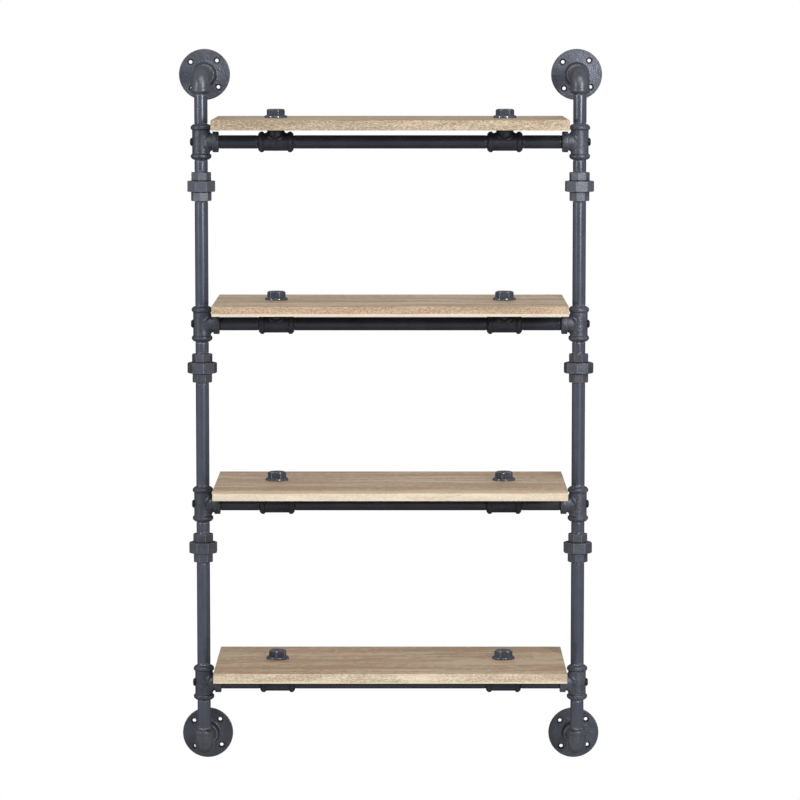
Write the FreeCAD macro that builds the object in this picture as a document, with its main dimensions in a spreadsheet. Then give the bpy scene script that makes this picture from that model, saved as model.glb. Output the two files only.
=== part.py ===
import FreeCAD, Part
import os
import re
import Sketcher

# Wall-mounted pipe shelving unit: two pipe columns, four pipe crossbars, four boards.
# +Z is up, the wall is the plane y = 0 and the unit stands out from it towards -Y.
# The origin lies in the wall plane, halfway between the four flanges.

# Driving sizes, in millimetres.
SIZES = {
    # half-inch pipe
    "pipeDiameter": 21.3,
    "pipeBore": 15.8,
    "wallNippleLength": 101.6,
    "wallNippleGap": 1.4,
    "endPipeLength": 75,
    "unionNippleLength": 46,
    "columnPipeLength": 194.3,
    "crossbarNippleLength": 89,
    "crossbarPipeLength": 334,
    "threadGrip": 13,
    "threadClearance": 0.05,
    # cast elbows and tees
    "fittingReach": 28,
    "fittingDiameter": 28.4,
    "fittingBore": 18,
    "branchDiameter": 26.8,
    "castFillet": 2.6,
    "beadDiameter": 33,
    "beadTaper": 3.5,
    "beadFront": 3.2,
    "beadBack": 6.5,
    "beadFoot": 9.8,
    "beadFillet": 1.4,
    "collarLength": 9.7,
    "elbowThroat": 0.8,
    # wall flanges
    "flangeDiameter": 82.5,
    "flangeRim": 4.8,
    "flangeRise": 1.2,
    "flangeHeight": 18.5,
    "hubFoot": 38,
    "hubTop": 33,
    "screwCircle": 60.3,
    "screwHole": 5.8,
    "screwSink": 10.2,
    # unions
    "unionHeadLength": 13.9,
    "unionNutLength": 17,
    "unionTailLength": 14.8,
    "unionEndFlats": 30.4,
    "unionNutFlats": 44,
    "unionThread": 36,
    "unionCollar": 33,
    "unionCollarLength": 4,
    "unionNeck": 27,
    "unionLip": 3.5,
    "unionLipClearance": 0.15,
    "unionGap": 0.4,
    "turnedEdge": 1.6,
    # boards
    "boardThickness": 15.9,
    "boardDepth": 254,
    "boardSideGap": 5.5,
    "boardWallGap": 4,
    "boardLift": 22.4,
    "boardEdge": 0.8,
    "boardHole": 22,
    "recessClearance": 0.9,
    # hexagon plugs that hold the boards down
    "plugFlange": 36.4,
    "plugFlangeHeight": 4.2,
    "plugRimFillet": 1.6,
    "plugFlats": 26,
    "plugHeadHeight": 9.8,
    "plugShank": 21,
    "plugGrip": 11,
    "plugChamfer": 1.5,
    # button-head screws and the threaded plugs in the crossbar ends
    "screwHead": 13,
    "screwHeadHeight": 3.3,
    "screwCrown": 2.6,
    "screwKey": 4,
    "screwKeyDepth": 2,
    "screwThread": 6,
    "screwClearance": 0.2,
    "screwBite": 10,
    "endPlugLength": 12,
    "endPlugClearance": 0.05,
}

# Sizes that follow from the driving ones.
RULES = {
    "pipeRadius": "pipeDiameter / 2",
    "socketRadius": "pipeRadius + threadClearance",
    "bodyRadius": "fittingDiameter / 2",
    "beadRadius": "beadDiameter / 2",
    "pipeEnd": "fittingReach - threadGrip",
    "elbowBend": "bodyRadius + elbowThroat",
    "halfNut": "unionNutLength / 2",
    "unionTop": "halfNut + unionHeadLength",
    "unionBottom": "-halfNut - unionTailLength",
    "collarFoot": "unionLip - halfNut",
    "collarTop": "collarFoot + unionCollarLength",
    "nutBoreRadius": "unionThread / 2 + threadClearance",
    "shelfPitch": "2 * pipeEnd + unionNippleLength + unionTop - unionBottom - 2 * threadGrip"
                  " + columnPipeLength",
    "endDrop": "2 * pipeEnd + endPipeLength",
    "topLevel": "endDrop + 1.5 * shelfPitch",
    "unionDrop": "pipeEnd + unionNippleLength - threadGrip + unionTop",
    "crossbarTeeX": "crossbarPipeLength / 2 + pipeEnd",
    "columnX": "crossbarTeeX + 2 * pipeEnd + crossbarNippleLength",
    "standOff": "wallNippleGap + wallNippleLength + pipeEnd",
    "boardWidth": "2 * (columnX - beadRadius - boardSideGap)",
    "recessDepth": "fittingReach - boardLift",
    "recessRadius": "beadRadius + recessClearance",
    "boardTop": "boardLift + boardThickness",
    "plugShankEnd": "fittingReach - plugGrip",
    "screwLength": "bodyRadius + pipeEnd + screwBite",
    "endPlugRadius": "pipeBore / 2 - endPlugClearance",
}

# How far each screwed piece is left turned, in degrees, as tightening leaves it. Plugs and
# unions count from a flat that faces the front; each union gives its head, nut and tail.
PLUG_TURNS = {"left": (-13, -8, -5, 22), "right": (1, -2, 16, 7)}
UNION_TURNS = {
    "left": ((9, 2, 19), (-15, -14, -2), (-6, 0, 4)),
    "right": ((13, 7, 5), (-5, 14, 0), (-4, 4, 8)),
}
FLANGE_TURN = 48
OCTAGON_TURN = 22.5

doc = FreeCAD.newDocument("PipeShelvingUnit")
sheet = doc.addObject("Spreadsheet::Sheet", "Sizes")
for row, (alias, size) in enumerate(SIZES.items(), start=1):
    sheet.set(f"A{row}", alias)
    sheet.set(f"B{row}", str(size))
    sheet.setAlias(f"B{row}", alias)
doc.recompute()


def formula(text):
    """An expression in plain size names, written out for the expression engine."""
    def spell(word):
        name = word.group(0)
        if name in RULES:
            return "(" + formula(RULES[name]) + ")"
        return "Sizes." + name if name in SIZES else name
    return re.sub(r"[A-Za-z]+", spell, str(text))


def value(text):
    return float(sheet.evalExpression(formula(text)))


def bind(thing, prop, text):
    thing.setExpression(prop, formula(text))


# ---- sketches and features ----

def newSketch(body, plane, lift="0"):
    """A sketch on one of the body's own origin planes, raised off it by lift."""
    sketch = body.newObject("Sketcher::SketchObject", "Sketch")
    origin = [part for part in body.Origin.OriginFeatures if part.Role == plane][0]
    sketch.AttachmentSupport = [(origin, "")]
    sketch.MapMode = "FlatFace"
    bind(sketch, "AttachmentOffset.Base.z", lift)
    return sketch


def fixPoint(sketch, line, end, across, along):
    """Dimensions one point of a sketch from the sketch's two axes."""
    for kind, text in (("DistanceX", across), ("DistanceY", along)):
        number = sketch.addConstraint(Sketcher.Constraint(kind, line, end, value(text)))
        bind(sketch, f"Constraints[{number}]", text)


def outline(sketch, corners):
    """A closed outline of straight lines through corners given as size expressions."""
    points = [FreeCAD.Vector(value(across), value(along), 0) for across, along in corners]
    for start, finish in zip(points, points[1:] + points[:1]):
        sketch.addGeometry(Part.LineSegment(start, finish), False)
    for line in range(len(points)):
        following = (line + 1) % len(points)
        sketch.addConstraint(Sketcher.Constraint("Coincident", line, 2, following, 1))
    for line, (across, along) in enumerate(corners):
        fixPoint(sketch, line, 1, across, along)


def circle(sketch, across, along, radius):
    centre = FreeCAD.Vector(value(across), value(along), 0)
    flat = FreeCAD.Vector(0, 0, 1)
    number = sketch.addGeometry(Part.Circle(centre, flat, value(radius)), False)
    fixPoint(sketch, number, 3, across, along)
    size = sketch.addConstraint(Sketcher.Constraint("Radius", number, value(radius)))
    bind(sketch, f"Constraints[{size}]", radius)


def turningLine(sketch, start, finish):
    """A construction line that a feature turns about."""
    ends = [FreeCAD.Vector(value(across), value(along), 0) for across, along in (start, finish)]
    number = sketch.addGeometry(Part.LineSegment(*ends), True)
    fixPoint(sketch, number, 1, *start)
    fixPoint(sketch, number, 2, *finish)


def turn(body, kind, sketch, axis, angle=360):
    """A Revolution that adds or a Groove that cuts, about an axis of its own sketch."""
    feature = body.newObject("PartDesign::" + kind, kind)
    feature.Profile = sketch
    feature.ReferenceAxis = (sketch, [axis])
    feature.Angle = angle
    sketch.Visibility = False
    return feature


def extrude(body, kind, sketch, length, reverse=False):
    """A Pad that adds or a Pocket that cuts, over a length."""
    feature = body.newObject("PartDesign::" + kind, kind)
    feature.Profile = sketch
    bind(feature, "Length", length)
    feature.Reversed = reverse
    return feature


def newBody(name):
    return doc.addObject("PartDesign::Body", name)


def edgesWhere(feature, test):
    """The names of a feature's edges that pass a test."""
    return [f"Edge{number}" for number, edge in enumerate(feature.Shape.Edges, start=1)
            if test(edge)]


def fillet(body, feature, edges, radius):
    rounding = body.newObject("PartDesign::Fillet", "Fillet")
    rounding.Base = (feature, edges)
    bind(rounding, "Radius", radius)
    return rounding


# ---- pipes ----

def pipe(name, diameter, bore, length):
    """A tube along +Z with its lower end at the origin."""
    body = newBody(name)
    section = newSketch(body, "XY_Plane")
    circle(section, "0", "0", f"({diameter}) / 2")
    circle(section, "0", "0", f"({bore}) / 2")
    extrude(body, "Pad", section, length)
    return body


# ---- cast fittings ----

def beadOutline(foot):
    """The outer edge of a cast end: body, bead and tapered tip, as (radius, reach) pairs."""
    return [
        ("bodyRadius", foot),
        ("bodyRadius", "fittingReach - beadFoot"),
        ("beadRadius", "fittingReach - beadBack"),
        ("beadRadius", "fittingReach - beadFront"),
        ("beadRadius - beadTaper", "fittingReach"),
    ]


def isRidge(edge):
    """True for the circles that bound a bead or a collar, where it is widest."""
    circular = type(edge.Curve) is Part.Circle
    return circular and abs(edge.Curve.Radius - value("beadRadius")) < 0.01


def roundBeads(body, feature):
    """Rounds every bead and collar that a fitting has so far."""
    doc.recompute()
    return fillet(body, feature, edgesWhere(feature, isRidge), "beadFillet")


def cutRound(body, plane, corners, axis):
    """Cuts away what the outline sweeps when it turns about a sketch axis."""
    sketch = newSketch(body, plane)
    outline(sketch, corners)
    return turn(body, "Groove", sketch, axis)


def tee(name, screwed):
    """A tee at the origin: run along Z, branch towards +X, bored for pipe at each end."""
    body = newBody(name)
    run = newSketch(body, "XZ_Plane")
    upper = beadOutline("0")[1:]
    lower = [(radius, f"-({reach})") for radius, reach in reversed(upper)]
    outline(run, [("0", "-fittingReach")] + lower + upper + [("0", "fittingReach")])
    turn(body, "Revolution", run, "V_Axis")
    branch = newSketch(body, "XZ_Plane")
    outline(branch, [
        ("0", "0"),
        ("fittingReach", "0"),
        ("fittingReach", "beadRadius"),
        ("fittingReach - collarLength", "beadRadius"),
        ("fittingReach - collarLength", "branchDiameter / 2"),
        ("0", "branchDiameter / 2"),
    ])
    joined = turn(body, "Revolution", branch, "H_Axis")
    rounded = roundBeads(body, joined)
    doc.recompute()
    fillet(body, rounded, edgesWhere(rounded, isSaddle), "castFillet")
    cutRound(body, "XZ_Plane", [
        ("0", "-fittingReach"),
        ("socketRadius", "-fittingReach"),
        ("socketRadius", "-pipeEnd"),
        ("fittingBore / 2", "-pipeEnd"),
        ("fittingBore / 2", "pipeEnd"),
        ("socketRadius", "pipeEnd"),
        ("socketRadius", "fittingReach"),
        ("0", "fittingReach"),
    ], "V_Axis")
    cutRound(body, "XZ_Plane", [
        ("0", "0"),
        ("0", "fittingBore / 2"),
        ("pipeEnd", "fittingBore / 2"),
        ("pipeEnd", "socketRadius"),
        ("fittingReach", "socketRadius"),
        ("fittingReach", "0"),
    ], "H_Axis")
    if screwed:
        hole = newSketch(body, "YZ_Plane")
        circle(hole, "0", "0", "screwThread / 2 + screwClearance")
        extrude(body, "Pocket", hole, "fittingDiameter")
    return body


def isSaddle(edge):
    """True for the curved edges where the branch meets the run."""
    box = edge.BoundBox
    reach = value("bodyRadius")
    within = box.XMax < reach + 0.01 and max(-box.ZMin, box.ZMax) < reach
    return within and box.XLength > 1 and box.YLength > 1 and box.ZLength > 1


def elbow(name):
    """An elbow at the origin: one end towards +Y, the other towards -Z."""
    body = newBody(name)
    bend = newSketch(body, "XY_Plane", "-elbowBend")
    circle(bend, "0", "0", "bodyRadius")
    turningLine(bend, ("bodyRadius", "elbowBend"), ("-bodyRadius", "elbowBend"))
    turn(body, "Revolution", bend, "Axis0", 90)
    for plane, axis, sign in (("XZ_Plane", "V_Axis", "-"), ("XY_Plane", "V_Axis", "")):
        leg = newSketch(body, plane)
        side = [(radius, f"{sign}({reach})") for radius, reach in beadOutline("elbowBend")]
        ends = [("0", f"{sign}fittingReach"), ("0", f"{sign}elbowBend")]
        outline(leg, side + ends)
        joined = turn(body, "Revolution", leg, axis)
    roundBeads(body, joined)
    waterway = newSketch(body, "XY_Plane", "-elbowBend")
    circle(waterway, "0", "0", "fittingBore / 2")
    turningLine(waterway, ("bodyRadius", "elbowBend"), ("-bodyRadius", "elbowBend"))
    turn(body, "Groove", waterway, "Axis0", 90)
    for plane, sign in (("XZ_Plane", "-"), ("XY_Plane", "")):
        for radius, start in (("fittingBore / 2", "elbowBend"), ("socketRadius", "pipeEnd")):
            cutRound(body, plane, [
                ("0", f"{sign}{start}"),
                (radius, f"{sign}{start}"),
                (radius, f"{sign}fittingReach"),
                ("0", f"{sign}fittingReach"),
            ], "V_Axis")
    return body


def flange(name):
    """A wall flange with its back on the XY plane and its hub along +Z."""
    body = newBody(name)
    section = newSketch(body, "XZ_Plane")
    outline(section, [
        ("socketRadius", "0"),
        ("flangeDiameter / 2", "0"),
        ("flangeDiameter / 2", "flangeRim - flangeRise"),
        ("flangeDiameter / 2 - flangeRise", "flangeRim"),
        ("hubFoot / 2 + flangeRise", "flangeRim + flangeRise"),
        ("hubFoot / 2 - flangeRise", "flangeRim + 3 * flangeRise"),
        ("hubTop / 2", "flangeHeight - flangeRise"),
        ("hubTop / 2 - flangeRise", "flangeHeight"),
        ("socketRadius", "flangeHeight"),
    ])
    turn(body, "Revolution", section, "V_Axis")
    hole = newSketch(body, "XZ_Plane")
    outline(hole, [
        ("screwCircle / 2", "0"),
        ("screwCircle / 2 + screwHole / 2", "0"),
        ("screwCircle / 2 + screwHole / 2", "flangeRim - (screwSink - screwHole) / 2"),
        ("screwCircle / 2 + screwSink / 2", "flangeRim"),
        ("screwCircle / 2 + screwSink / 2", "flangeHeight"),
        ("screwCircle / 2", "flangeHeight"),
    ])
    turningLine(hole, ("screwCircle / 2", "0"), ("screwCircle / 2", "flangeHeight"))
    drilled = turn(body, "Groove", hole, "Axis0")
    doc.recompute()
    around = body.newObject("PartDesign::PolarPattern", "ScrewHoles")
    around.Originals = [drilled]
    around.Axis = (hole, ["V_Axis"])
    around.Angle = 360
    around.Occurrences = 4
    body.Tip = around
    return body


# ---- unions ----

def solid(kind, name, **sizes):
    """A Part primitive with its sizes, and its height off the XY plane, bound to the sheet."""
    thing = doc.addObject("Part::" + kind, name)
    for prop, text in sizes.items():
        bind(thing, "Placement.Base.z" if prop == "Foot" else prop, text)
    return thing


def combine(kind, name, *things):
    """A Part boolean: a Cut of the second from the first, or a MultiFuse of all."""
    thing = doc.addObject("Part::" + kind, name)
    if kind == "MultiFuse":
        thing.Shapes = list(things)
    else:
        thing.Base, thing.Tool = things
    return thing


def flats(name, sides, across, foot, height, soften, top, bottom):
    """A prism measured across its flats, with its corners turned down at the chosen ends."""
    corner = f"({across}) / 2 / cos({180 / sides} deg)"
    prism = solid("Prism", name + "Prism", Circumradius=corner, Height=height, Foot=foot)
    prism.Polygon = sides
    turned = newBody(name + "Turned")
    section = newSketch(turned, "XZ_Plane")
    low = f"({foot})"
    high = f"({foot}) + ({height})"
    narrow = f"({across}) / 2 - 0.2 * ({soften})"
    wide = f"({across}) / 2 + ({soften})"
    corners = [("0", low)]
    corners += [(narrow, low), (wide, f"{low} + 0.6 * ({soften})")] if bottom else [(wide, low)]
    corners += [(wide, f"{high} - 0.6 * ({soften})"), (narrow, high)] if top else [(wide, high)]
    outline(section, corners + [("0", high)])
    turn(turned, "Revolution", section, "V_Axis")
    return combine("Common", name + "Flats", prism, turned)


def unionHead(name):
    """The upper third of a union: octagon to screw on the pipe, threaded spigot below it."""
    octagon = flats(name, 8, "unionEndFlats", "halfNut + unionGap",
                    "unionHeadLength - unionGap", "turnedEdge", True, False)
    spigot = solid("Cylinder", name + "Spigot", Radius="unionThread / 2",
                   Height="halfNut - collarTop", Foot="collarTop")
    neck = solid("Cylinder", name + "Neck", Radius="unionNeck / 2",
                 Height="unionGap", Foot="halfNut")
    outside = combine("MultiFuse", name + "Outside", octagon, neck, spigot)
    bore = solid("Cylinder", name + "Bore", Radius="pipeBore / 2",
                 Height="unionTop - collarTop", Foot="collarTop")
    socket = solid("Cylinder", name + "Socket", Radius="socketRadius",
                   Height="threadGrip", Foot="unionTop - threadGrip")
    return combine("Cut", name, outside, combine("MultiFuse", name + "Hollow", bore, socket))


def unionTail(name):
    """The lower third: octagon, neck, and the collar that the nut pulls up to the head."""
    octagon = flats(name, 8, "unionEndFlats", "unionBottom",
                    "unionTailLength - unionGap", "turnedEdge", False, True)
    neck = solid("Cylinder", name + "Neck", Radius="unionNeck / 2",
                 Height="unionGap + unionLip", Foot="-halfNut - unionGap")
    collar = solid("Cylinder", name + "Collar", Radius="unionCollar / 2",
                   Height="unionCollarLength", Foot="collarFoot")
    outside = combine("MultiFuse", name + "Outside", octagon, neck, collar)
    bore = solid("Cylinder", name + "Bore", Radius="pipeBore / 2",
                 Height="collarTop - unionBottom", Foot="unionBottom")
    socket = solid("Cylinder", name + "Socket", Radius="socketRadius",
                   Height="threadGrip", Foot="unionBottom")
    return combine("Cut", name, outside, combine("MultiFuse", name + "Hollow", bore, socket))


def unionNut(name):
    """The octagonal nut: wide thread above, and a lip below that hooks under the collar."""
    octagon = flats(name, 8, "unionNutFlats", "-halfNut", "unionNutLength",
                    "turnedEdge", True, True)
    thread = solid("Cylinder", name + "Thread", Radius="nutBoreRadius",
                   Height="halfNut - collarFoot", Foot="collarFoot")
    lip = solid("Cylinder", name + "Lip", Radius="unionNeck / 2 + unionLipClearance",
                Height="unionLip", Foot="-halfNut")
    return combine("Cut", name, octagon, combine("MultiFuse", name + "Hollow", thread, lip))


# ---- boards and fastenings ----

def board(name):
    """A shelf board; the XY plane is its crossbar's axis and the YZ plane its middle."""
    body = newBody(name)
    plan = newSketch(body, "XY_Plane", "boardLift")
    front = "standOff - boardWallGap - boardDepth"
    back = "standOff - boardWallGap"
    outline(plan, [
        ("-boardWidth / 2", front),
        ("boardWidth / 2", front),
        ("boardWidth / 2", back),
        ("-boardWidth / 2", back),
    ])
    slab = extrude(body, "Pad", plan, "boardThickness")
    doc.recompute()
    level = edgesWhere(slab, lambda edge: edge.BoundBox.ZLength < 0.001)
    fillet(body, slab, level, "boardEdge")
    holes = newSketch(body, "XY_Plane", "boardTop")
    recesses = newSketch(body, "XY_Plane", "boardLift + recessDepth")
    for side in ("-", ""):
        circle(holes, f"{side}crossbarTeeX", "0", "boardHole / 2")
        circle(recesses, f"{side}crossbarTeeX", "0", "recessRadius")
    extrude(body, "Pocket", holes, "boardThickness")
    extrude(body, "Pocket", recesses, "recessDepth")
    return body


def hexagonPlug(name):
    """A flanged hexagon plug that stands on the XY plane, its shank below."""
    head = flats(name, 6, "plugFlats", "plugFlangeHeight", "plugHeadHeight",
                 "plugChamfer", True, False)
    body = newBody(name + "Turning")
    section = newSketch(body, "XZ_Plane")
    outline(section, [
        ("0", "plugShankEnd - boardTop"),
        ("plugShank / 2", "plugShankEnd - boardTop"),
        ("plugShank / 2", "0"),
        ("plugFlange / 2", "0"),
        ("plugFlange / 2", "plugFlangeHeight / 2"),
        ("plugFlats / 2", "plugFlangeHeight"),
        ("0", "plugFlangeHeight"),
    ])
    turned = turn(body, "Revolution", section, "V_Axis")
    doc.recompute()
    rim = edgesWhere(turned, lambda edge: edge.BoundBox.XLength > value("plugFlange") - 0.01
                     and edge.BoundBox.ZMin > 0.01)
    fillet(body, turned, rim, "plugRimFillet")
    return combine("MultiFuse", name, head, body)


def buttonScrew(name):
    """A button-head screw along -Z, with the underside of its head on the XY plane."""
    body = newBody(name)
    disc = newSketch(body, "XY_Plane")
    circle(disc, "0", "0", "screwHead / 2")
    head = extrude(body, "Pad", disc, "screwHeadHeight")
    doc.recompute()
    crown = edgesWhere(head, lambda edge: edge.BoundBox.ZMin > value("screwHeadHeight / 2"))
    fillet(body, head, crown, "screwCrown")
    thread = newSketch(body, "XY_Plane")
    circle(thread, "0", "0", "screwThread / 2")
    extrude(body, "Pad", thread, "screwLength", reverse=True)
    key = newSketch(body, "XY_Plane", "screwHeadHeight")
    hexagon(key, "screwKey")
    extrude(body, "Pocket", key, "screwKeyDepth")
    return body


def hexagon(sketch, across):
    """A hexagon about the sketch's origin, measured across its flats."""
    half = f"({across}) / 2"
    corner = f"({across}) / sqrt(3)"
    outline(sketch, [
        (corner, "0"), (f"{corner} / 2", half), (f"-{corner} / 2", half),
        (f"-{corner}", "0"), (f"-{corner} / 2", f"-{half}"), (f"{corner} / 2", f"-{half}"),
    ])


# ---- putting the pieces together ----

parts = []


def place(form, where, axis=(0, 0, 1), angle=0, spin=0):
    """A linked copy of a form: spun about its own Z, turned about an axis, moved to where."""
    copy = doc.addObject("App::Link", form.Name + "Copy")
    copy.LinkedObject = form
    turned = FreeCAD.Rotation(FreeCAD.Vector(*axis), angle)
    spun = FreeCAD.Rotation(FreeCAD.Vector(0, 0, 1), spin)
    copy.Placement = FreeCAD.Placement(FreeCAD.Vector(), turned * spun)
    for coordinate, text in zip("xyz", where):
        bind(copy, "Placement.Base." + coordinate, text)
    return copy


def subpart(label, copies):
    """One named sub-part: a single copy, or a compound of copies that share a name."""
    if len(copies) == 1:
        node = copies[0]
    else:
        node = doc.addObject("Part::Compound", "Group")
        node.Links = copies
    node.Label = label
    parts.append(node)


wallNipple = pipe("WallNipple", "pipeDiameter", "pipeBore", "wallNippleLength")
endPipe = pipe("EndPipe", "pipeDiameter", "pipeBore", "endPipeLength")
unionNipple = pipe("UnionNipple", "pipeDiameter", "pipeBore", "unionNippleLength")
columnPipe = pipe("ColumnPipe", "pipeDiameter", "pipeBore", "columnPipeLength")
crossbarNipple = pipe("CrossbarNipple", "pipeDiameter", "pipeBore", "crossbarNippleLength")
crossbarPipe = pipe("CrossbarPipe", "pipeDiameter", "pipeBore", "crossbarPipeLength")
endPlug = pipe("EndPlug", "2 * endPlugRadius", "screwThread + 2 * threadClearance",
               "endPlugLength")
sideTee = tee("SideTee", True)
crossbarTee = tee("CrossbarTee", False)
wallElbow = elbow("WallElbow")
wallFlange = flange("WallFlange")
headForm = unionHead("UnionHead")
tailForm = unionTail("UnionTail")
nutForm = unionNut("UnionNut")
shelfBoard = board("ShelfBoard")
shelfPlug = hexagonPlug("ShelfPlug")
teeScrew = buttonScrew("TeeScrew")

SIDES = (("left", "-", 0), ("right", "", 180))
ENDS = (("top", "", 0), ("bottom", "-", 180))
LEVELS = (1, 2, 3, 4)
JOINTS = (1, 2, 3)

for end, high, overturn in ENDS:
    for side, across, flip in SIDES:
        name = f"{end}_{side}"
        x = f"{across}columnX"
        subpart("wall_flange_" + name, [
            place(wallFlange, (x, "0", f"{high}topLevel"), (1, 0, 0), 90, FLANGE_TURN),
        ])
        subpart("wall_nipple_" + name, [
            place(wallNipple, (x, "-wallNippleGap", f"{high}topLevel"), (1, 0, 0), 90),
        ])
        subpart("wall_elbow_" + name, [
            place(wallElbow, (x, "-standOff", f"{high}topLevel"), (0, 1, 0), overturn),
        ])
        foot = "topLevel - pipeEnd - endPipeLength" if end == "top" else "pipeEnd - topLevel"
        subpart("end_pipe_" + name, [place(endPipe, (x, "-standOff", foot))])

for level in LEVELS:
    bar = f"topLevel - endDrop - {level - 1} * shelfPitch"
    for side, across, flip in SIDES:
        subpart(f"side_tee_{side}_{level}", [
            place(sideTee, (f"{across}columnX", "-standOff", bar), (0, 0, 1), flip),
        ])
    subpart(f"shelf_board_{level}", [place(shelfBoard, ("0", "-standOff", bar))])
    subpart(f"crossbar_pipe_{level}", [
        place(crossbarPipe, ("-crossbarPipeLength / 2", "-standOff", bar), (0, 1, 0), 90),
    ])
    subpart(f"crossbar_tees_{level}", [
        place(crossbarTee, (f"{across}crossbarTeeX", "-standOff", bar), (0, 1, 0), -90)
        for side, across, flip in SIDES
    ])
    subpart(f"crossbar_nipples_{level}", [
        place(crossbarNipple, (start, "-standOff", bar), (0, 1, 0), 90)
        for start in ("-columnX + pipeEnd", "crossbarTeeX + pipeEnd")
    ])


def everyLevel(form, across, angle):
    """One copy for each side of each level, laid along X and turned by plus or minus an angle."""
    copies = []
    for level in LEVELS:
        bar = f"topLevel - endDrop - {level - 1} * shelfPitch"
        for sign, turned in (("-", -angle), ("", angle)):
            copies.append(place(form, (f"{sign}({across})", "-standOff", bar), (0, 1, 0), turned))
    return copies


subpart("tee_screws", everyLevel(teeScrew, "columnX + bodyRadius", 90))
subpart("crossbar_end_plugs", everyLevel(endPlug, "columnX - pipeEnd", -90))
subpart("shelf_plugs", [
    place(shelfPlug, (f"{across}crossbarTeeX", "-standOff",
                      f"topLevel - endDrop - {level - 1} * shelfPitch + boardTop"),
          spin=PLUG_TURNS[side][level - 1])
    for level in LEVELS for side, across, flip in SIDES
])

heads, nuts, tails = [], [], []
for joint in JOINTS:
    bar = f"topLevel - endDrop - {joint - 1} * shelfPitch"
    for side, across, flip in SIDES:
        centre = (f"{across}columnX", "-standOff", f"{bar} - unionDrop")
        thirds = zip((heads, nuts, tails), (headForm, nutForm, tailForm),
                     UNION_TURNS[side][joint - 1])
        for group, form, left in thirds:
            group.append(place(form, centre, spin=OCTAGON_TURN + left))
        subpart(f"column_pipe_{side}_{joint}", [
            place(columnPipe, (f"{across}columnX", "-standOff", f"{bar} + pipeEnd - shelfPitch")),
        ])
    subpart(f"union_nipples_{joint}", [
        place(unionNipple, (f"{across}columnX", "-standOff", f"{bar} - pipeEnd - unionNippleLength"))
        for side, across, flip in SIDES
    ])
subpart("union_heads", heads)
subpart("union_nuts", nuts)
subpart("union_tails", tails)

doc.recompute()

for thing in doc.Objects:
    if any(word in ("Invalid", "Error") for word in thing.State):
        raise RuntimeError(f"{thing.Name} ({thing.Label}) failed: {thing.State}")

os.makedirs("parts", exist_ok=True)
for node in parts:
    shape = Part.getShape(node)
    if shape.isNull() or not shape.isValid() or not shape.Solids:
        raise RuntimeError(f"{node.Label} has no valid shape")
    shape.exportStep(f"parts/{node.Label}.step")
    print(node.Label, len(shape.Solids), "solids", round(shape.Volume), "mm3")
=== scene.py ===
import bpy
import math
import numpy as np
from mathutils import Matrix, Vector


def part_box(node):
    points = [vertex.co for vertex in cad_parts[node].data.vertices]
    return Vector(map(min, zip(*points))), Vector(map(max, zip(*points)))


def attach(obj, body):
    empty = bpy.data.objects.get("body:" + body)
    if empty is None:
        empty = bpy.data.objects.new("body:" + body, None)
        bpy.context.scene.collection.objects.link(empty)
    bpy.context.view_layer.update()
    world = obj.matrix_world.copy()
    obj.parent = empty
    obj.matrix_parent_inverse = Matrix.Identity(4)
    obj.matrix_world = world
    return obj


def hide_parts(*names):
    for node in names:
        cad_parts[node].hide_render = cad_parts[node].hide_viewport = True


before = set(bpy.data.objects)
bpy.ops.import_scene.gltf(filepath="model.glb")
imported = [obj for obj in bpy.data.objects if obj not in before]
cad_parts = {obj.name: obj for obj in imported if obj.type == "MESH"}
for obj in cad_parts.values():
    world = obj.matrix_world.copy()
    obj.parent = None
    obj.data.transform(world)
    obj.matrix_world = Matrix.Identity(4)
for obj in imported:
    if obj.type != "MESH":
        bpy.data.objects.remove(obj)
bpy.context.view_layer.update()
mm = 0.001
weldReach = 1e-6    # metres
creaseAngle = 32    # degrees
xAxis, yAxis, zAxis = 0, 1, 2
sides = ("left", "right")
ends = ("top", "bottom")
levels = (1, 2, 3, 4)
joints = (1, 2, 3)
print("frame loaded:", len(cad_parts), "nodes")


# surfaces are worked out as whole arrays; a shape is its points, its faces and its wear and
# painted light, which is 1 where metal is rubbed bright (on bead ridges and plugs partly a
# painted highlight), 0 on plain skin and -1 where shade is painted into crevices and recesses

def gridFaces(rows, columns, closed):
    # four-cornered faces between neighbouring rows and columns; the columns run round and meet,
    # and so do the rows where the grid is closed
    row = np.arange(rows if closed else rows - 1)[:, None]
    column = np.arange(columns)[None, :]
    nextRow = (row + 1) % rows
    nextColumn = (column + 1) % columns
    corners = (row * columns + column, row * columns + nextColumn,
               nextRow * columns + nextColumn, nextRow * columns + column)
    return np.stack(corners, axis=-1).reshape(-1)


def makeShape(points, corners, counts=None, wearAndPaintedLight=None):
    points = np.asarray(points, float).reshape(-1, 3)
    counts = np.full(len(corners) // 4, 4) if counts is None else counts
    wearAndPaintedLight = np.zeros(len(points)) if wearAndPaintedLight is None else np.asarray(wearAndPaintedLight, float).reshape(-1)
    return {"points": points, "corners": corners, "counts": counts, "wearAndPaintedLight": wearAndPaintedLight}


def evenTurns(count):
    return np.arange(count) / count * 2 * math.pi


def turned(radius, height, turns, wearAndPaintedLight=0.0):
    # radius by row, or by row and turn, at each row's height, carried round the Z axis;
    # rows that start off the axis close on themselves, as the outside and bore of a tube do
    height = np.asarray(height, float)[:, None]
    radius = np.asarray(radius, float).reshape(len(height), -1)
    radius = np.broadcast_to(radius, (len(height), len(turns)))
    points = np.stack([radius * np.cos(turns), radius * np.sin(turns), height + 0 * radius], -1)
    closed = radius[0].max() > 0
    wearAndPaintedLight = np.broadcast_to(wearAndPaintedLight, radius.shape)
    return makeShape(points, gridFaces(len(height), len(turns), closed), wearAndPaintedLight=wearAndPaintedLight)


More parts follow.
